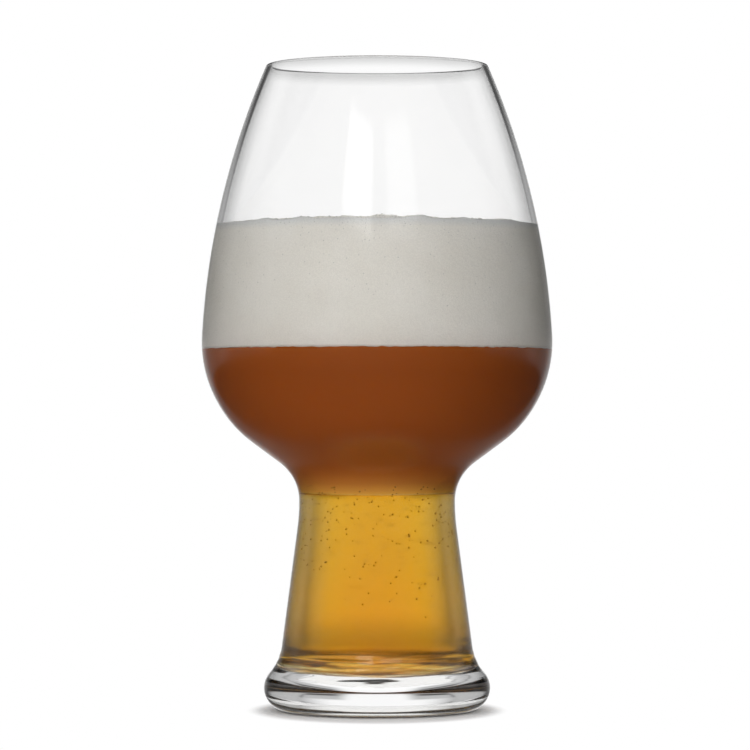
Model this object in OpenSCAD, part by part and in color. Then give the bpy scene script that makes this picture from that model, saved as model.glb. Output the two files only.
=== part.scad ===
// Wheat beer glass: one blown glass on a heavy foot, filled with beer under a deep head of foam.
// All lengths are in millimetres. The origin is on the axis, on the surface that the glass stands on.

/* [Bowl] */
// Overall height, from the standing ring to the rim
glass_height = 188; // [165:1:210]
// Outside diameter of the rim's lip
rim_diameter = 65; // [50:0.5:80]
// Outside diameter at the belly, the widest place of the bowl
belly_diameter = 102.4; // [92:0.2:120]
// Height of the belly
belly_level = 107.3; // [95:0.1:125]
// Radius of the round that turns the underside of the bowl up into its sides
belly_round = 36.5; // [25:0.5:45]
// Angle by which that round runs on above the belly
shoulder_angle = 3.3; // [0:0.1:8]
// Angle of the bowl's underside to the axis
underside_angle = 53.5; // [40:0.5:60]

/* [Stem] */
// Outside diameter at the waist, the narrowest place
waist_diameter = 45.5; // [38:0.1:54]
// Radius of the hollow curve from the waist up to the bowl
waist_round = 14; // [8:0.5:22]
// Radius of the hollow curve from the waist down to the stem
stem_round = 60; // [20:1:120]
// Outside diameter at the foot of the stem
stem_base_diameter = 55.6; // [50:0.1:60]
// Height of the foot of the stem
stem_base_level = 18.6; // [15:0.1:24]

/* [Foot] */
// Outside diameter of the foot
foot_diameter = 66; // [62:0.1:80]
// Radius of the foot's round edge
foot_round = 6.6; // [5:0.1:8]
// Depth of the flat that is ground on the underside of that round
foot_grind = 0.2; // [0.1:0.05:1]
// Width of the flat ring that the glass stands on
standing_ring_width = 3.6; // [2:0.1:8]
// Depth of the shallow hollow inside that ring
punt_depth = 3.6; // [0.5:0.1:4]

/* [Wall] */
// Wall at the rim, which is the thickness of its rounded lip
rim_wall = 1.5; // [1:0.1:3]
// Wall of the bowl at the belly
bowl_wall = 1.7; // [1:0.1:4]
// Wall of the stem
stem_wall = 2.7; // [1.5:0.1:5]
// Wall of the foot, at the edge of the inside floor
foot_wall = 5.9; // [4:0.1:9]
// Height below which the inside widens with the foot
flare_level = 15.9; // [14:0.1:18]
// Height of the inside floor above the standing ring
floor_level = 9.5; // [6:0.1:11]
// Radius of the round at the edge of the inside floor
floor_round = 3; // [1:0.1:4]

/* [Filling] */
// Height of the beer's surface, under the foam
beer_level = 105.2; // [80:0.1:125]
// Depth of the foam in the middle
foam_depth = 37.9; // [5:0.1:50]
// Radius of the foam's low domed top
foam_dome = 600; // [200:10:2000]

/* [Hidden] */
// Fineness of the outline: the most that an arc stands off the chords between its points
arc_sag = 0.01;
$fn = 180;

belly = [belly_diameter / 2, belly_level];
waist_radius = waist_diameter / 2;
stem_base = [stem_base_diameter / 2, stem_base_level];
foot_centre = [foot_diameter / 2 - foot_round, foot_round - foot_grind];
foot_flat_angle = asin(foot_centre.y / foot_round);
punt_radius = foot_centre.x + foot_round * cos(foot_flat_angle) - standing_ring_width;
punt_sphere = (punt_radius ^ 2 + punt_depth ^ 2) / (2 * punt_depth);
lip_radius = rim_wall / 2;
lip_centre = [rim_diameter / 2, glass_height] - [lip_radius, lip_radius];
foam_level = beer_level + foam_depth;

// Unit vector at an angle, and the angle of a vector
function toward(angle) = [cos(angle), sin(angle)];
function angle_of(v) = atan2(v.y, v.x);

// Points along an arc, both ends included
function arc(centre, radius, from, to) =
    let (steps = ceil(abs(to - from) / (2 * acos(1 - arc_sag / radius))))
    [for (i = [0:steps]) centre + radius * toward(from + (to - from) * i / steps)];

// The points of an arc that goes on from the end of the one before it
function onward(points) = [for (i = [1:len(points) - 1]) points[i]];

// A list of points in the other direction
function reversed(points) = [for (i = [len(points) - 1:-1:0]) points[i]];

// Points along a low dome, from its top on the axis out to a given reach
function dome(top, sphere, reach) = arc([0, top - sphere], sphere, 90, acos(reach / sphere));

// Height of the belly above the waist, with a straight underside between the two rounds
function belly_rise(step, rounds) =
    let (straight = (step - rounds * (1 - cos(underside_angle))) / sin(underside_angle))
    rounds * sin(underside_angle) + straight * cos(underside_angle);

// Radius of the arc that leaves a point square to a direction and runs into the round of the lip
function upper_radius(from, inward, lip) =
    let (step = from - lip_centre)
    (lip ^ 2 - step * step) / (2 * (step * inward + lip));

// Angle to the axis of the straight stem that rises from its base and runs into the hollow of the waist
function stem_taper(base, centre, radius) =
    let (step = centre - base)
    asin(radius / norm(step)) - atan2(step.x, step.y);

// The outside of the stem's base, and the inside of its wall
function base_point(wall) = stem_base - [wall, 0];

// Place of the waist inside a given wall of the bowl and of the stem
function waist_point(wall, waist_wall) =
    let (
        radius = waist_radius - waist_wall,
        rounds = belly_round - wall + waist_round + waist_wall
    )
    [radius, belly.y - belly_rise(belly.x - wall - radius, rounds)];

// Angle of the stem to the axis inside a given wall
function taper(wall, waist_wall) =
    let (hollow = stem_round + waist_wall)
    stem_taper(base_point(waist_wall), waist_point(wall, waist_wall) + [hollow, 0], hollow);

// Points of one side of the bowl and stem inside given walls, from the stem up to the lip
// The lip's radius is positive on the outside of the glass and negative on the inside
function side(wall, waist_wall, lip) =
    let (
        waist = waist_point(wall, waist_wall),
        hollow_down = stem_round + waist_wall,
        hollow_up = waist_round + waist_wall,
        round_up = belly_round - wall,
        belly_centre = belly - [belly_round, 0],
        inward = -toward(shoulder_angle),
        shoulder = belly_centre - round_up * inward,
        upper = upper_radius(shoulder, inward, lip),
        upper_centre = shoulder + upper * inward,
        lip_angle = angle_of(lip_centre - upper_centre)
    )
    concat(
        arc(waist + [hollow_down, 0], hollow_down, 180 + taper(wall, waist_wall), 180),
        onward(arc(waist + [hollow_up, 0], hollow_up, 180, 180 - underside_angle)),
        arc(belly_centre, round_up, -underside_angle, shoulder_angle),
        onward(arc(upper_centre, upper, shoulder_angle, lip_angle))
    );

// Points of the foot's round edge and of the fillet from it up to the stem
function foot() =
    let (
        outward = toward(taper(0, 0)),
        step = stem_base - foot_centre,
        fillet = (step * step - foot_round ^ 2) / (2 * (foot_round - step * outward)),
        fillet_centre = stem_base + fillet * outward,
        meet = angle_of(fillet_centre - foot_centre)
    )
    concat(
        arc(foot_centre, foot_round, -foot_flat_angle, meet),
        onward(arc(fillet_centre, fillet, 180 + meet, 180 + angle_of(outward)))
    );

// Points of the inside of the foot, from the round at the floor's edge up to the crease at the stem
function floor_edge() =
    let (
        base = base_point(stem_wall),
        crease = [base.x + (base.y - flare_level) * tan(taper(bowl_wall, stem_wall)), flare_level],
        corner = [foot_diameter / 2 - foot_wall, floor_level],
        rise = angle_of(crease - corner),
        reach = floor_round / tan(90 - rise / 2)
    )
    concat(
        arc(corner + [-reach, floor_round], floor_round, -90, rise - 90),
        [crease]
    );

outer_side = side(0, 0, lip_radius);
inner_side = side(bowl_wall, stem_wall, -lip_radius);

// Points of the inside of the glass, from the middle of the floor up to the lip
cavity = concat([[0, floor_level]], floor_edge(), inner_side);

// Points of the rim's rounded lip, from the outside over to the inside, without its ends
function lip() =
    let (
        from = angle_of(outer_side[len(outer_side) - 1] - lip_centre),
        to = angle_of(inner_side[len(inner_side) - 1] - lip_centre),
        points = arc(lip_centre, lip_radius, from, to + 360)
    )
    [for (i = [1:len(points) - 2]) points[i]];

// What fills the cavity under a line that runs from the axis outwards, down to a given height
module filling(top, bottom) {
    rotate_extrude()
        intersection() {
            polygon(concat(cavity, [[0, lip_centre.y]]));
            polygon(concat(top, [[belly.x, bottom], [0, bottom]]));
        }
}

module glass() {
    color("whitesmoke", 0.4)
        rotate_extrude()
            polygon(concat(
                dome(punt_depth, punt_sphere, punt_radius),
                foot(),
                outer_side,
                lip(),
                reversed(cavity)
            ));
}

module beer() {
    color("darkgoldenrod")
        filling([[0, beer_level], [belly.x, beer_level]], 0);
}

module foam_head() {
    color("antiquewhite")
        filling(dome(foam_level, foam_dome, belly.x), beer_level);
}

glass();
beer();
foam_head();
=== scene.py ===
# A filled wheat beer glass on a white ground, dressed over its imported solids.
import math
import random

import bpy
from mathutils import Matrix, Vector, noise


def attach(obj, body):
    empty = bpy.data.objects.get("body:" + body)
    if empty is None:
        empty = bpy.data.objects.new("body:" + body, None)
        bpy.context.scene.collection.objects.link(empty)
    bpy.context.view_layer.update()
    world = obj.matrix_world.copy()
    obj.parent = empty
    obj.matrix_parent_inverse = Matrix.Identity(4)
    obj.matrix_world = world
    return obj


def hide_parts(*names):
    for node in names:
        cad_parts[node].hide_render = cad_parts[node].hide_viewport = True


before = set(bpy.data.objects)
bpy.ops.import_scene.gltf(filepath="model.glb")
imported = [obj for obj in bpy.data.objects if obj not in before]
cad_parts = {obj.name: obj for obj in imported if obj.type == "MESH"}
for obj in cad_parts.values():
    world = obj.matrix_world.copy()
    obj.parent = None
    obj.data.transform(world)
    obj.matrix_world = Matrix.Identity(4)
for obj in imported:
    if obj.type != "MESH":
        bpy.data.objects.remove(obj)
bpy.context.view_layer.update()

MM = 0.001
TURN = 2 * math.pi

# Sides of a turned shape, and the distance from the axis or a plane that counts as on it
SEGMENTS = 256
CLOSE = 1e-6

# Camera, placed as the photograph was taken
CAMERA_DISTANCE = 1.109
CAMERA_HEIGHT = 0.0896
CAMERA_ASIDE = -0.0006
CAMERA_TILT = math.radians(0.41)
CAMERA_LENS = 182.4
CAMERA_SENSOR = 36

# Neighbours reach a little into the glass, so that light passes from one to the next without a film of air
BEER_LAP = 0.10 * MM
FOAM_LAP = 0.15 * MM

# Beer and foam reach into each other, along a line that isn't quite even
SEAM_LAP = 0.3 * MM
SEAM_WAVE = 0.25 * MM
SEAM_WAVE_SIZE = 1.3 * MM
SEAM_SLICE = 0.11

# Ripples in the hollow side of the foot, between two heights and outside of a radius
RIPPLE_FROM = 9.5 * MM
RIPPLE_TO = 18.0 * MM
RIPPLE_LEAST = 27.5 * MM
RIPPLE_BLEND = 1.5 * MM
RIPPLE_DEPTH = 0.15 * MM
RIPPLE_STEP = 0.35 * MM

# Glass: wear on the ring it stands on, a painted contact shadow there, a damp film under the bowl, and
# painted grey shade at its lip
GLASS_IOR = 1.5
WIPE_ROUGHNESS = 0.012
WEAR_ROUGHNESS = 0.4
WEAR_FROM = 0.1 * MM
WEAR_TO = 0.8 * MM
CONTACT_SHADOW_HEIGHT = 2 * MM
DAMP_ROUGHNESS = 0.25
DAMP_FROM = 64 * MM
DAMP_FULL_FROM = 70 * MM
DAMP_FULL_TO = 82 * MM
DAMP_TO = 94 * MM
LIP_SHADE = 0.70
LIP_FROM = 184.0 * MM
LIP_TO = 187.4 * MM

# Beer: what it lets through, and how rough its surface looks where it is clear and where it is hazy
BEER_IOR = 1.34
BEER_SPECULAR = 0.08
BEER_TRANSMISSION = 0.97
BEER_ABSORPTION = (0.962, 0.803, 0.02, 1)
BEER_DENSITY = 100.0
CLEAR_ROUGHNESS = 0.18
HAZY_ROUGHNESS = 0.4

# Beer: heights between which the haze grows, its rise from front to back, and its swirls
HAZE_FROM = 61.0 * MM
HAZE_TO = 70.5 * MM
HAZE_SLANT = 0.03
CLOUD_SPAN = 40 * MM
SWIRL = 0.4 * MM

# Beer: shares of the haze between which it turns too deep to see through
CLEAR_TO = 0.195
DENSE_FROM = 0.205

# Beer: heights between which it turns darker towards the bottom, and how much darker it is there
DARKER_LOW_FROM = 18.5 * MM
DARKER_LOW_TO = 28.0 * MM
DARKER_LOW_SHARE = 0.62

# Beer: the inside floor, where it is clear, the height below which the inside widens with the foot, and the
# share of painted caustic streaks below it
FLOOR_LEVEL = 9.5 * MM
FLOOR_BLEND = 0.3 * MM
FLARE_LEVEL = 15.9 * MM
FLARE_BLEND = 1 * MM
CAUSTIC_STREAK_SHARE = 0.9

# Foam: round of its upper edge, rings on its top, and the painted cooler grey shade of its upper edge
EDGE_ROUND = 0.5 * MM
EDGE_STEPS = 5
FROTH_STEP = 0.8 * MM
EDGE_SHADE_TINT = (0.88, 0.91, 0.96, 1)
EDGE_SHADE_FROM = 138.8 * MM
EDGE_SHADE_TO = 140.8 * MM
EDGE_SHADE_INSIDE = 41 * MM
EDGE_SHADE_OUTSIDE = 44 * MM

# Foam: width of the swells and lumps of its top, their heights in millimetres, and their slices of the noise
SWELL_SIZE = 8 * MM
SWELL_LIFT = 1.5
SWELL_LEAST = 0.05
SWELL_SLICE = 0.31
LUMP_SIZE = 3 * MM
LUMP_LIFT = 0.25
LUMP_SLICE = 0.77
TOP_SINK = 0.3

# Bubbles on top of the foam: number, radius in millimetres, sunk share of it and distance from the edge
FROTH_SEED = 19
TOP_BUBBLES = 900
TOP_BUBBLE_LEAST = 0.15
TOP_BUBBLE_MORE = 0.35
TOP_BUBBLE_SUNK = 0.25
TOP_BUBBLE_EDGE = 0.3 * MM

# Bubbles where the foam clings to the glass: number, radius and depth below the edge in millimetres
WALL_BUBBLES = 600
WALL_BUBBLE_RADII = (0.10, 0.20)
WALL_BUBBLE_SUNK = 0.5
WALL_BUBBLE_FIRST = 1
WALL_BUBBLE_DEPTH = 24

# Gas bubbles that cling to the wall of the stem: number, radius and height in millimetres
GAS_SEED = 7
GAS_BUBBLES = 560
GAS_BUBBLE_RADII = (0.13, 0.28)
GAS_BUBBLE_FROM = 26
GAS_BUBBLE_RISE = 40

# Ground: round paper that takes the shadow and turns into plain white further out
GROUND_RADIUS = 60 * MM
GROUND_DROP = 0.2 * MM
SHADOW_FROM = 40 * MM
SHADOW_TO = 48 * MM
SHADOW_STRETCH = (1.25, 0.95, 1)
SKY_LEVEL = 0.95

# Lights: places in degrees, the left window's slant, and the table's reach close by and its gain farther off
SOFTBOX_ASIDE = 12
SOFTBOX_LIFT = 20
LEFT_WINDOW_ASIDE = -15
LEFT_WINDOW_LIFT = 33.5
RIGHT_WINDOW_ASIDE = 19
RIGHT_WINDOW_LIFT = 33
WINDOW_SLANT = 0.14
TABLE_NEAR = 30
TABLE_MORE = 34
CARD_TURN = 82
CARD_LIFT = 14

# Lights: brightness, where 1 is white
TENT_LEVEL = 0.03
HORIZON_LEVEL = 0.5
SIDE_WALL_LEVEL = 0.5
TABLE_MIDDLE_LEVEL = 0.66
TABLE_SIDE_LEVEL = 0.34
CEILING_LEVEL = 0.55
SOFTBOX_LEVEL = 4.1
SOFTBOX_TABLE_LEVEL = 0.7
LEFT_WINDOW_LEVEL = 2.3
RIGHT_WINDOW_LEVEL = 1.2
CARD_LEVEL = 0.25

# Lights: how much the panel fades in the glass's mirror, and what is left of the table and the low wall there
MIRRORED_FADE = 0.8
MIRRORED_TABLE = 0.5
MIRRORED_HORIZON = 0.3

# Sockets of a node that mixes colours
MIX_A = 6
MIX_B = 7
MIX_RESULT = 2


# Outlines

def outline_of(node):
    """Half outline of a round node as (radius, height) pairs, walked from its lower loose end."""
    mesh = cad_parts[node].data
    links = {}

    def place(index):
        x, y, z = mesh.vertices[index].co
        return (round(x, 6), round(z, 6)) if abs(y) < CLOSE and x > -CLOSE else None

    for edge in mesh.edges:
        a, b = (place(index) for index in edge.vertices)
        if a and b and a != b:
            links.setdefault(a, set()).add(b)
            links.setdefault(b, set()).add(a)
    ends = [point for point, near in links.items() if len(near) == 1]
    points = [min(ends, key=lambda point: point[1])]
    while True:
        ahead = [point for point in links[points[-1]] if point not in points[-2:]]
        if not ahead:
            return points
        points.append(ahead[0])


def held(points, reach=0.15 * MM, corner=math.radians(4), long=1.5 * MM):
    """The outline with a point close to each corner on its long straight sides, so that they shade flat."""
    kept = [points[0]]
    for before, here, after in zip(points, points[1:], points[2:]):
        a, b, c = Vector(before), Vector(here), Vector(after)
        sharp = (b - a).angle(c - b) > corner
        if sharp and (b - a).length > long:
            kept.append(tuple(b + (a - b).normalized() * reach))
        kept.append(here)
        if sharp and (c - b).length > long:
            kept.append(tuple(b + (c - b).normalized() * reach))
    return kept + [points[-1]]


def lapped(points, lap):
    """The outline moved outwards by lap, square to its own direction."""
    moved = []
    for index, point in enumerate(points):
        before = Vector(points[max(index - 1, 0)])
        after = Vector(points[min(index + 1, len(points) - 1)])
        along = (after - before).normalized()
        moved.append((point[0] + along.y * lap, point[1] - along.x * lap))
    return moved


def divided(points, low, high, least, step):
    """The outline with points at most a step apart between two heights, outside of a least radius."""
    kept = [points[0]]
    for a, b in zip(points, points[1:]):
        inside = min(a[0], b[0]) > least and min(a[1], b[1]) > low and max(a[1], b[1]) < high
        parts = math.ceil(math.dist(a, b) / step) if inside else 1
        for part in range(1, parts + 1):
            kept.append(tuple(Vector(a).lerp(Vector(b), part / parts)))
    return kept


def radius_at(points, height):
    """Radius of a wall's outline, which runs upwards, at a height."""
    for (r0, z0), (r1, z1) in zip(points, points[1:]):
        if z0 <= height <= z1 and z1 > z0:
            return r0 + (r1 - r0) * (height - z0) / (z1 - z0)
    return points[-1][0]


def height_at(points, radius):
    """Height of a top's outline, which runs inwards, at a radius."""
    for (r0, z0), (r1, z1) in zip(points, points[1:]):
        if r1 <= radius <= r0 and r1 < r0:
            return z0 + (z1 - z0) * (r0 - radius) / (r0 - r1)
    return points[-1][1]


# Meshes

def mesh_object(name, vertices, faces, material):
    """A smooth object from vertices and faces, in one material."""
    mesh = bpy.data.meshes.new(name)
    mesh.from_pydata(vertices, [], faces)
    mesh.update()
    mesh.shade_smooth()
    mesh.materials.append(material)
    thing = bpy.data.objects.new(name, mesh)
    bpy.context.scene.collection.objects.link(thing)
    return thing


def spun(points, shaped=None):
    """Vertices and faces of an outline turned round the Z axis; shaped(x, y, z, row) may move a point."""
    vertices, rings, faces = [], [], []
    for row, (radius, z) in enumerate(points):
        count = SEGMENTS if radius > CLOSE else 1
        rings.append([len(vertices) + i for i in range(count)])
        for i in range(count):
            x = radius * math.cos(TURN * i / SEGMENTS)
            y = radius * math.sin(TURN * i / SEGMENTS)
            vertices.append(shaped(x, y, z, row) if shaped else (x, y, z))
    for low, high in zip(rings, rings[1:]):
        for i in range(SEGMENTS):
            j = i + 1
            corners = [low[i % len(low)], low[j % len(low)], high[j % len(high)], high[i % len(high)]]
            faces.append(list(dict.fromkeys(corners)))
    return vertices, faces


def around(radius, turn, height):
    """Point at a radius and a turn round the Z axis."""
    return Vector((radius * math.cos(turn), radius * math.sin(turn), height))


def ball(vertices, faces, centre, radius, rows=6, columns=10):
    """Adds a small closed ball to a mesh under construction."""
    first = len(vertices)
    vertices.append((centre.x, centre.y, centre.z - radius))
    for row in range(1, rows):
        lift = -math.cos(math.pi * row / rows) * radius
        reach = math.sin(math.pi * row / rows) * radius
        for column in range(columns):
            turn = TURN * column / columns
            x = centre.x + reach * math.cos(turn)
            y = centre.y + reach * math.sin(turn)
            vertices.append((x, y, centre.z + lift))
    vertices.append((centre.x, centre.y, centre.z + radius))
    last = len(vertices) - 1
    for column in range(columns):
        beside = (column + 1) % columns
        faces.append([first, first + 1 + beside, first + 1 + column])
        for row in range(rows - 2):
            low = first + 1 + row * columns
            faces.append([low + column, low + beside, low + columns + beside, low + columns + column])
        top = first + 1 + (rows - 2) * columns
        faces.append([top + column, top + beside, last])


# Materials

class Shader:
    """A node tree with short calls that add nodes and join them."""

    def __init__(self, owner):
        owner.use_nodes = True
        self.tree = owner.node_tree
        self.tree.nodes.clear()

    def add(self, kind, values=None, **settings):
        """A new node with its settings, and with values or other nodes' outputs on its inputs."""
        node = self.tree.nodes.new(kind)
        for name, value in settings.items():
            setattr(node, name, value)
        for name, value in (values or {}).items():
            self.set(node, name, value)
        return node

    def set(self, node, name, value):
        """Joins an output to an input, or sets a plain value on it."""
        if isinstance(value, bpy.types.NodeSocket):
            self.tree.links.new(value, node.inputs[name])
        else:
            node.inputs[name].default_value = value

    def where(self, stretch=None):
        """Place on the object, stretched where asked."""
        place = self.add("ShaderNodeTexCoord").outputs["Object"]
        if stretch:
            place = self.add("ShaderNodeMapping", {"Vector": place, "Scale": stretch}).outputs["Vector"]
        return place

    def axes(self):
        """Place on the object as its X, Y and Z."""
        return self.add("ShaderNodeSeparateXYZ", {"Vector": self.where()}).outputs

    def length(self, vector):
        """Length of a vector."""
        return self.add("ShaderNodeVectorMath", {0: vector}, operation="LENGTH").outputs["Value"]

    def maths(self, operation, a, b):
        """Two values joined by an operation."""
        return self.add("ShaderNodeMath", {0: a, 1: b}, operation=operation).outputs[0]

    def noise(self, scale, detail, stretch=None):
        """Cloudy noise over the object."""
        values = {"Vector": self.where(stretch), "Scale": scale, "Detail": detail}
        return self.add("ShaderNodeTexNoise", values).outputs["Fac"]

    def cells(self, scale):
        """Distance to the middle of the nearest cell."""
        values = {"Vector": self.where(), "Scale": scale}
        return self.add("ShaderNodeTexVoronoi", values).outputs["Distance"]

    def mixed(self, colour, other, share, blend="MIX"):
        """A colour with a share of another."""
        node = self.add("ShaderNodeMix", {"Factor": share}, data_type="RGBA", blend_type=blend)
        self.set(node, MIX_A, colour)
        self.set(node, MIX_B, other)
        return node.outputs[MIX_RESULT]

    def tinted(self, colour, tint, share=1.0):
        """A colour multiplied by another, by a share of it."""
        return self.mixed(colour, tint, share, "MULTIPLY")

    def spread(self, value, low, high, start=0.0, end=1.0, smooth=False):
        """A value that runs from low to high while another runs from start to end."""
        values = {"Value": value, "From Min": start, "From Max": end, "To Min": low, "To Max": high}
        step = "SMOOTHSTEP" if smooth else "LINEAR"
        return self.add("ShaderNodeMapRange", values, interpolation_type=step).outputs["Result"]

    def ramp(self, value, stops):
        """Colour that runs through stops of (value, colour)."""
        node = self.add("ShaderNodeValToRGB", {"Fac": value})
        while len(node.color_ramp.elements) < len(stops):
            node.color_ramp.elements.new(0.5)
        for element, (place, colour) in zip(node.color_ramp.elements, stops):
            element.position = place
            element.color = (*colour, 1)
        return node.outputs["Color"]

    def bump(self, height, strength, distance):
        """Normals of a surface with a fine relief."""
        values = {"Height": height, "Strength": strength, "Distance": distance}
        return self.add("ShaderNodeBump", values).outputs["Normal"]

    def seen(self):
        """1 for what the camera, a mirror or glass shows, 0 for light that a matt surface gathers."""
        path = self.add("ShaderNodeLightPath").outputs
        shown = self.maths("MAXIMUM", path["Is Camera Ray"], path["Is Glossy Ray"])
        return self.maths("MAXIMUM", shown, path["Is Transmission Ray"])

    def finish(self, surface, volume=None):
        """Joins a surface, and a volume inside of it, to the output."""
        kind = "ShaderNodeOutputWorld" if surface.type == "BACKGROUND" else "ShaderNodeOutputMaterial"
        values = {"Surface": surface.outputs[0]}
        if volume:
            values["Volume"] = volume.outputs[0]
        self.add(kind, values)


def new_material(name):
    """A new material, and the shader that fills it."""
    material = bpy.data.materials.new(name)
    return material, Shader(material)


def clear_glass():
    """Clear glass: wipe marks, wear and a painted contact shadow on the ring it stands on, a damp film under
    the bowl and painted grey shade at the lip.
    """
    material, shader = new_material("clear_glass")
    height = shader.axes()["Z"]
    wipe = shader.spread(shader.noise(90, 4), 0.0, WIPE_ROUGHNESS, 0.45, 0.8)
    wear = shader.spread(height, WEAR_ROUGHNESS, 0.0, WEAR_FROM, WEAR_TO)
    damp = shader.maths("MULTIPLY", shader.spread(height, 0.0, DAMP_ROUGHNESS, DAMP_FROM, DAMP_FULL_FROM),
                        shader.spread(height, 1.0, 0.0, DAMP_FULL_TO, DAMP_TO))
    # Painted contact shadow: the glass is tinted almost black in its lowest millimetre, where it meets the
    # ground.
    contact_shadow = shader.ramp(shader.spread(height, 0.0, 1.0, 0.0, CONTACT_SHADOW_HEIGHT), [
        (0.1, (0.05, 0.045, 0.04)),
        (0.55, (1.0, 1.0, 1.0)),
    ])
    # Painted shade: the glass is tinted greyer towards its lip.
    lip = shader.spread(height, 1.0, LIP_SHADE, LIP_FROM, LIP_TO, smooth=True)
    surface = shader.add("ShaderNodeBsdfPrincipled", {
        "Base Color": shader.tinted(contact_shadow, lip),
        "Transmission Weight": 1.0,
        "IOR": GLASS_IOR,
        "Roughness": shader.maths("ADD", shader.maths("ADD", wipe, wear), damp),
    })
    shader.finish(surface)
    return material


def wheat_beer():
    """Hazy beer: clear in the stem and darker low in it, with painted caustic streaks in the foot, and too
    deep to see through in the bowl, where painted light makes it lighter towards the bottom.
    """
    material, shader = new_material("wheat_beer")
    place = shader.axes()
    height = place["Z"]
    slanted = shader.maths("SUBTRACT", height, shader.maths("MULTIPLY", place["Y"], HAZE_SLANT))
    depth = shader.spread(slanted, 0.0, 1.0, HAZE_FROM, HAZE_TO, smooth=True)
    swirl = shader.spread(shader.noise(30, 4), -SWIRL, SWIRL, 0.3, 0.7)
    swirled = shader.maths("ADD", slanted, swirl)
    # The beer's own colour from clear to hazy, with painted light that makes the bowl lighter towards its
    # bottom.
    haze_and_painted_light = shader.ramp(shader.spread(swirled, 0.0, 1.0, HAZE_FROM, HAZE_FROM + CLOUD_SPAN), [
        (0.0, (0.985, 0.93, 0.80)),
        (0.05, (0.985, 0.90, 0.60)),
        (0.075, (0.97, 0.52, 0.085)),
        (0.10, (0.88, 0.40, 0.065)),
        (0.157, (0.68, 0.25, 0.042)),
        (0.227, (0.58, 0.18, 0.028)),
        (0.307, (0.54, 0.15, 0.022)),
        (0.587, (0.47, 0.115, 0.017)),
        (0.957, (0.37, 0.088, 0.013)),
    ])
    # The beer turns darker towards the bottom of the stem.
    darker_low = shader.spread(height, 1.0, DARKER_LOW_SHARE, DARKER_LOW_TO, DARKER_LOW_FROM, smooth=True)
    # Painted light and shade: golden caustic streaks with dark ones, in the beer where the inside widens with
    # the foot.
    painted_caustic_streaks = shader.ramp(shader.noise(1.0, 4, stretch=(45, 45, 620)), [
        (0.44, (0.08, 0.025, 0.005)),
        (0.50, (0.85, 0.50, 0.14)),
        (0.54, (1.0, 0.98, 0.85)),
    ])
    above = shader.spread(height, 0.0, 1.0, FLARE_LEVEL - FLARE_BLEND, FLARE_LEVEL)
    colour = shader.tinted(haze_and_painted_light, darker_low, above)
    colour = shader.tinted(colour, painted_caustic_streaks, shader.spread(above, CAUSTIC_STREAK_SHARE, 0.0))
    on_floor = shader.spread(height, 1.0, 0.0, FLOOR_LEVEL, FLOOR_LEVEL + FLOOR_BLEND)
    off_floor = shader.spread(on_floor, 1.0, 0.0)
    roughness = shader.spread(depth, CLEAR_ROUGHNESS, HAZY_ROUGHNESS)
    surface = shader.add("ShaderNodeBsdfPrincipled", {
        "Base Color": shader.mixed(colour, (1, 1, 1, 1), on_floor),
        "Transmission Weight": shader.spread(depth, BEER_TRANSMISSION, 0.0, CLEAR_TO, DENSE_FROM),
        "IOR": BEER_IOR,
        "Specular IOR Level": BEER_SPECULAR,
        "Roughness": shader.maths("MULTIPLY", roughness, off_floor),
    })
    volume = shader.add("ShaderNodeVolumeAbsorption", {"Color": BEER_ABSORPTION, "Density": BEER_DENSITY})
    shader.finish(surface, volume)
    return material


def beer_foam():
    """Matt froth of fine and coarser cells, cloudy in its colour, with painted cooler grey shade at its upper
    edge.
    """
    material, shader = new_material("beer_foam")
    fine, coarse = shader.cells(2600.0), shader.cells(900.0)
    colour = shader.ramp(shader.noise(60, 5), [(0.3, (0.86, 0.83, 0.76)), (0.7, (0.92, 0.895, 0.835))])
    place = shader.axes()
    flat = shader.add("ShaderNodeCombineXYZ", {"X": place["X"], "Y": place["Y"]}).outputs["Vector"]
    # Painted shade: a cooler grey along the foam's upper edge, close to the glass.
    edge_shade = shader.maths("MULTIPLY", shader.spread(place["Z"], 0.0, 1.0, EDGE_SHADE_FROM, EDGE_SHADE_TO),
                       shader.spread(shader.length(flat), 0.0, 1.0, EDGE_SHADE_INSIDE, EDGE_SHADE_OUTSIDE))
    colour = shader.tinted(colour, EDGE_SHADE_TINT, edge_shade)
    surface = shader.add("ShaderNodeBsdfPrincipled", {
        "Base Color": shader.tinted(colour, shader.spread(fine, 1.0, 0.93, 0.2, 0.7)),
        "Roughness": 0.75,
        "Specular IOR Level": 0.3,
        "Normal": shader.bump(shader.maths("ADD", fine, coarse), 0.25, 0.15 * MM),
    })
    shader.finish(surface)
    return material


def foam_bubble():
    """Thin film of a bubble on the foam."""
    material, shader = new_material("foam_bubble")
    film = shader.noise(700, 3)
    surface = shader.add("ShaderNodeBsdfPrincipled", {
        "Base Color": shader.ramp(film, [(0.35, (0.90, 0.88, 0.82)), (0.65, (0.97, 0.96, 0.92))]),
        "Transmission Weight": 0.35,
        "IOR": 1.33,
        "Roughness": shader.spread(film, 0.1, 0.3),
    })
    shader.finish(surface)
    return material


def gas_bubble():
    """Gas bubble in the beer, an opaque ball with painted dark shade, for how it looks dark against the light
    behind it.
    """
    material, shader = new_material("gas_bubble")
    shade = shader.noise(2500, 2)
    surface = shader.add("ShaderNodeBsdfPrincipled", {
        "Base Color": shader.ramp(shade, [(0.35, (0.28, 0.09, 0.011)), (0.65, (0.50, 0.19, 0.026))]),
        "Roughness": 0.25,
    })
    shader.finish(surface)
    return material


# Camera

scene = bpy.context.scene
scene.view_settings.view_transform = "Standard"
lens = bpy.data.cameras.new("camera")
lens.sensor_width = CAMERA_SENSOR
lens.lens = CAMERA_LENS
camera = bpy.data.objects.new("camera", lens)
camera.location = (CAMERA_ASIDE, -CAMERA_DISTANCE, CAMERA_HEIGHT)
camera.rotation_euler = (math.pi / 2 + CAMERA_TILT, 0, 0)
scene.collection.objects.link(camera)
scene.camera = camera


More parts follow.
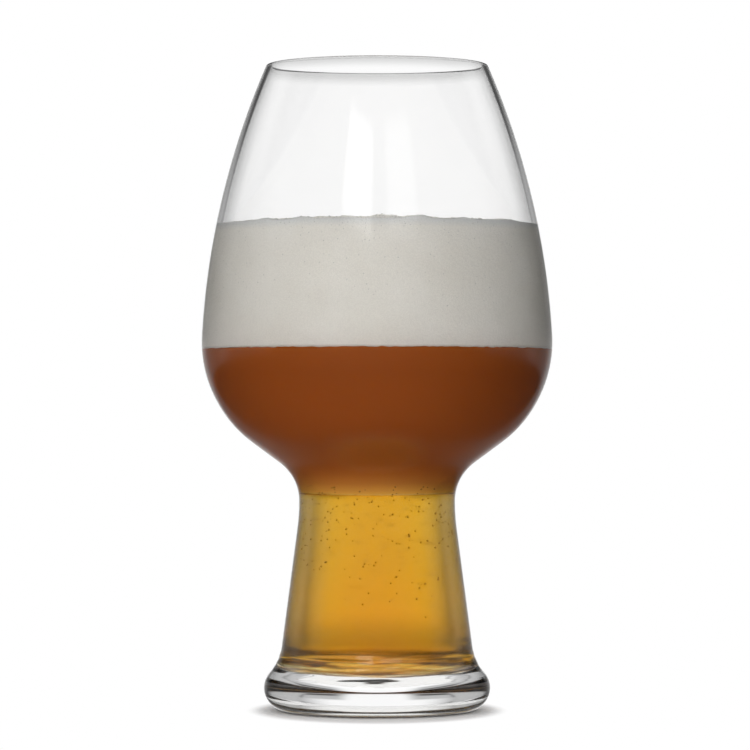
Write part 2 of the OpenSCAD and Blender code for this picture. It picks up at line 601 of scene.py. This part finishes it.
# Glass

def ripple(x, y, z, wide, high):
    """Ripple of a given width and height in millimetres."""
    return noise.noise(Vector((x / wide, y / wide, z / high)) / MM)


def rippled(x, y, z, row):
    """A point of the glass, with the faint ripples that shaping the foot left in its hollow side."""
    radius = math.hypot(x, y)
    if radius < RIPPLE_LEAST or not RIPPLE_FROM < z < RIPPLE_TO:
        return x, y, z
    share = min((z - RIPPLE_FROM) / RIPPLE_BLEND, (RIPPLE_TO - z) / RIPPLE_BLEND, 1.0)
    wave = ripple(x, y, z, wide=14, high=1.7) + 0.5 * ripple(x, y, z, wide=6, high=0.9)
    scale = 1 + RIPPLE_DEPTH * share * wave / radius
    return x * scale, y * scale, z


glass_line = held(outline_of("glass"))
glass_line.append((0.0, glass_line[-1][1]))
glass_line = divided(glass_line, RIPPLE_FROM, RIPPLE_TO, RIPPLE_LEAST, RIPPLE_STEP)
glass = mesh_object("glass_body", *spun(glass_line, rippled), clear_glass())
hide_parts("glass")
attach(glass, "root")


# Beer

beer_wall = held(outline_of("beer"))
beer_level = beer_wall[-1][1]
beer_line = lapped([(0.0, beer_wall[0][1])] + beer_wall, BEER_LAP)
beer_line[0] = (0.0, beer_line[0][1])
beer_line[-1] = (beer_line[-1][0], beer_level + SEAM_LAP)
beer_line.append((0.0, beer_line[-1][1]))
beer = mesh_object("wheat_beer", *spun(beer_line), wheat_beer())
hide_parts("beer")
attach(beer, "root")


# Foam, with a round upper edge between its wall and its top

foam_line = outline_of("foam_head")
edge_row = max(range(len(foam_line)), key=lambda row: foam_line[row][0] + foam_line[row][1])
foam_wall = lapped(foam_line[:edge_row + 1], FOAM_LAP)
foam_top = foam_line[edge_row:]
edge_level = foam_wall[-1][1]

foam_rows = [(0.0, beer_level - SEAM_LAP), (foam_wall[0][0], beer_level)]
seam_rows = len(foam_rows)
foam_rows += [point for point in foam_wall[1:] if point[1] < edge_level - EDGE_ROUND]
wall_rows = len(foam_rows)
for step in range(EDGE_STEPS + 1):
    angle = math.pi / 2 * step / EDGE_STEPS
    height = edge_level - EDGE_ROUND * (1 - math.sin(angle))
    foam_rows.append((radius_at(foam_wall, height) - EDGE_ROUND * (1 - math.cos(angle)), height))
top_radius = foam_rows[-1][0]
rings = round(top_radius / FROTH_STEP)
for ring in range(1, rings + 1):
    radius = top_radius * (1 - ring / rings)
    foam_rows.append((radius, height_at(foam_top, radius)))


def froth_height(x, y):
    """Lift of the foam's top: broad swells with small lumps on them."""
    swell = noise.noise(Vector((x, y, SWELL_SLICE)) / SWELL_SIZE)
    lump = noise.noise(Vector((x, y, LUMP_SLICE)) / LUMP_SIZE)
    return (LUMP_LIFT * lump + SWELL_LIFT * max(0.0, swell - SWELL_LEAST) - TOP_SINK) * MM


def frothed(x, y, z, row):
    """A point of the foam: uneven at the seam, as the glass is on the wall, and frothy on top."""
    if row < seam_rows:
        return x, y, z + SEAM_WAVE * noise.noise(Vector((x, y, SEAM_SLICE)) / SEAM_WAVE_SIZE)
    if row < wall_rows:
        return x, y, z
    share = min((row - wall_rows + 1) / EDGE_STEPS, 1.0)
    return x, y, z + share * froth_height(x, y)


foam = mesh_object("foam_head_froth", *spun(foam_rows, frothed), beer_foam())
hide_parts("foam_head")
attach(foam, "root")


# Bubbles on top of the foam, and fine ones where it clings to the glass, more of them close to its edge

chance = random.Random(FROTH_SEED)
vertices, faces = [], []
for index in range(TOP_BUBBLES):
    radius = top_radius * math.sqrt(chance.random())
    turn = TURN * chance.random()
    size = (TOP_BUBBLE_LEAST + TOP_BUBBLE_MORE * chance.random() ** 3) * MM
    if radius + size > top_radius - TOP_BUBBLE_EDGE:
        continue
    top = height_at(foam_top, radius) + froth_height(radius * math.cos(turn), radius * math.sin(turn))
    ball(vertices, faces, around(radius, turn, top - TOP_BUBBLE_SUNK * size), size)
for index in range(WALL_BUBBLES):
    height = edge_level - (WALL_BUBBLE_FIRST + WALL_BUBBLE_DEPTH * chance.random() ** 1.6) * MM
    turn = TURN * chance.random()
    size = chance.uniform(*WALL_BUBBLE_RADII) * MM
    radius = radius_at(foam_wall, height) - WALL_BUBBLE_SUNK * size
    ball(vertices, faces, around(radius, turn, height), size)
froth = mesh_object("foam_bubbles", vertices, faces, foam_bubble())
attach(froth, "root")


# Gas bubbles that cling to the wall of the stem, more of them higher up

chance = random.Random(GAS_SEED)
vertices, faces = [], []
for index in range(GAS_BUBBLES):
    height = (GAS_BUBBLE_FROM + GAS_BUBBLE_RISE * chance.random() ** 0.6) * MM
    turn = TURN * chance.random()
    size = chance.uniform(*GAS_BUBBLE_RADII) * MM
    ball(vertices, faces, around(radius_at(beer_wall, height) + BEER_LAP, turn, height), size)
bubbles = mesh_object("gas_bubbles", vertices, faces, gas_bubble())
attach(bubbles, "root")


# Ground and sky

def white_ground():
    """White ground that shows the shadow close to the glass."""
    material, shader = new_material("white_ground")
    paper = shader.add("ShaderNodeBsdfDiffuse", {"Color": (0.9, 0.9, 0.9, 1)})
    white = shader.add("ShaderNodeEmission", {"Color": (1, 1, 1, 1), "Strength": shader.seen()})
    reach = shader.length(shader.where(SHADOW_STRETCH))
    share = shader.spread(reach, 0.0, 1.0, SHADOW_FROM, SHADOW_TO, smooth=True)
    path = shader.add("ShaderNodeLightPath").outputs
    share = shader.maths("MAXIMUM", share, path["Is Transmission Ray"])
    shader.finish(shader.add("ShaderNodeMixShader", {0: share, 1: paper.outputs[0], 2: white.outputs[0]}))
    return material


ground = mesh_object("ground", *spun([(GROUND_RADIUS, -GROUND_DROP), (0.0, -GROUND_DROP)]), white_ground())
ground.visible_glossy = False

world = bpy.data.worlds.new("studio")
scene.world = world
sky = Shader(world)
brightness = sky.spread(sky.seen(), SKY_LEVEL, 1.0)
sky.finish(sky.add("ShaderNodeBackground", {"Color": (1, 1, 1, 1), "Strength": brightness}))


# Lights, by their place in degrees: turn runs to the right from straight behind the glass, and lift runs up

def soft(value, edge, width):
    """1 below an edge, 0 above it, with a smooth step of a given width."""
    share = min(max((edge + width / 2 - value) / width, 0.0), 1.0)
    return share * share * (3 - 2 * share)


def backdrop(turn, lift):
    """Lit panel behind the glass, with soft edges."""
    return soft(abs(turn), edge=13, width=10) * soft(lift, edge=30, width=10)


def horizon(turn, lift):
    """Dim wall on both sides of the panel, low down."""
    return HORIZON_LEVEL * soft(abs(turn), edge=30, width=6) * soft(lift, edge=11, width=5)


def side_walls(turn, lift):
    """Walls farther to the sides."""
    beside = soft(abs(turn), edge=64, width=16) - soft(abs(turn), edge=30, width=6)
    return SIDE_WALL_LEVEL * beside * soft(lift, edge=24, width=8)


def table_behind(turn, lift):
    """The pale table behind the glass, bright in the middle, dimmer to the sides and narrower close by."""
    reach = TABLE_NEAR + TABLE_MORE * soft(-lift, edge=9, width=3)
    middle = TABLE_MIDDLE_LEVEL * soft(abs(turn), edge=25, width=24)
    sides = TABLE_SIDE_LEVEL * soft(abs(turn), edge=reach, width=16)
    return (middle + sides) * soft(lift, edge=2, width=5)


def overhead(turn, lift):
    """Bright ceiling."""
    return CEILING_LEVEL * (1 - soft(lift, edge=20, width=14))


def softbox(turn, lift):
    """Large soft light in front, a little left of the camera, and the lit table, for what scatters light."""
    aside = abs(turn % 360 - 180 - SOFTBOX_ASIDE)
    above = abs(lift - SOFTBOX_LIFT)
    lamp = SOFTBOX_LEVEL * soft(aside, edge=28, width=34) * soft(above, edge=38, width=24)
    return lamp + SOFTBOX_TABLE_LEVEL * soft(lift, edge=-50, width=24)


def windows(turn, lift):
    """Two panes high in front, the left one on a slant."""
    aside = 180 - turn % 360
    across = aside - LEFT_WINDOW_ASIDE
    above = lift - LEFT_WINDOW_LIFT + WINDOW_SLANT * across
    left = soft(abs(across), edge=11, width=3) * soft(abs(above), edge=9, width=3)
    across = aside - RIGHT_WINDOW_ASIDE
    above = lift - RIGHT_WINDOW_LIFT
    right = soft(abs(across), edge=11, width=5) * soft(abs(above), edge=9, width=4)
    return LEFT_WINDOW_LEVEL * left + RIGHT_WINDOW_LEVEL * right


def side_cards(turn, lift):
    """White cards left and right."""
    across, above = abs(turn) - CARD_TURN, lift - CARD_LIFT
    return CARD_LEVEL * soft(abs(across), edge=26, width=18) * soft(abs(above), edge=22, width=10)


def through(turn, lift):
    """What shows through the glass: the lit panel, the table below it, the walls and the ceiling."""
    ceiling = overhead(turn, lift) * soft(abs(turn), edge=70, width=30)
    sides = max(horizon(turn, lift), side_walls(turn, lift))
    return max(backdrop(turn, lift), table_behind(turn, lift), sides, ceiling)


def in_mirror(turn, lift):
    """What the glass mirrors: a panel that fades towards the ground, table, ceiling, cards and windows."""
    fade = 1 - MIRRORED_FADE * soft(lift, edge=-25, width=40)
    table = MIRRORED_TABLE * table_behind(turn, lift) * (1 - soft(lift, edge=-10, width=8))
    low_panel = backdrop(turn, lift) * soft(lift, edge=8, width=5) * fade
    panel = max(low_panel, table, MIRRORED_HORIZON * horizon(turn, lift))
    return panel + overhead(turn, lift) + side_cards(turn, lift) + windows(turn, lift)


def tent(name, mirror, scatter, radius=3.0, columns=180, rows=85, low=-90, high=80):
    """Dark round tent that the camera carries, with lights on it.

    mirror gives the light that clear surfaces show, and scatter is added to it for matt surfaces.
    """
    vertices, faces = [], []
    lights = {"mirror": [], "scatter": []}
    for row in range(rows + 1):
        lift = low + (high - low) * row / rows
        for column in range(columns):
            turn = 360 * column / columns - 180
            level = math.cos(math.radians(lift))
            vertices.append((
                radius * level * math.sin(math.radians(turn)),
                radius * math.sin(math.radians(lift)),
                -CAMERA_DISTANCE - radius * level * math.cos(math.radians(turn)),
            ))
            lights["mirror"].append(TENT_LEVEL + mirror(turn, lift))
            lights["scatter"].append(scatter(turn, lift))
    for row in range(rows):
        for column in range(columns):
            beside = (column + 1) % columns
            below, above = row * columns, (row + 1) * columns
            faces.append([below + column, below + beside, above + beside, above + column])
    material, shader = new_material(name)
    shown = shader.add("ShaderNodeAttribute", attribute_name="mirror").outputs["Fac"]
    added = shader.add("ShaderNodeAttribute", attribute_name="scatter").outputs["Fac"]
    bounces = shader.add("ShaderNodeLightPath").outputs["Diffuse Depth"]
    added = shader.maths("MULTIPLY", added, shader.maths("MINIMUM", bounces, 1.0))
    strength = shader.maths("ADD", shown, added)
    shader.finish(shader.add("ShaderNodeEmission", {"Color": (1, 1, 1, 1), "Strength": strength}))
    material.cycles.emission_sampling = "NONE"
    thing = mesh_object(name, vertices, faces, material)
    for light, values in lights.items():
        thing.data.attributes.new(light, "FLOAT", "POINT").data.foreach_set("value", values)
    thing.parent = camera
    thing.visible_camera = False
    thing.visible_diffuse = False
    thing.visible_shadow = False
    return thing


seen_through = tent("seen_through", through, softbox)
seen_through.visible_glossy = False
mirrored = tent("mirrored", in_mirror, softbox)
mirrored.visible_transmission = False
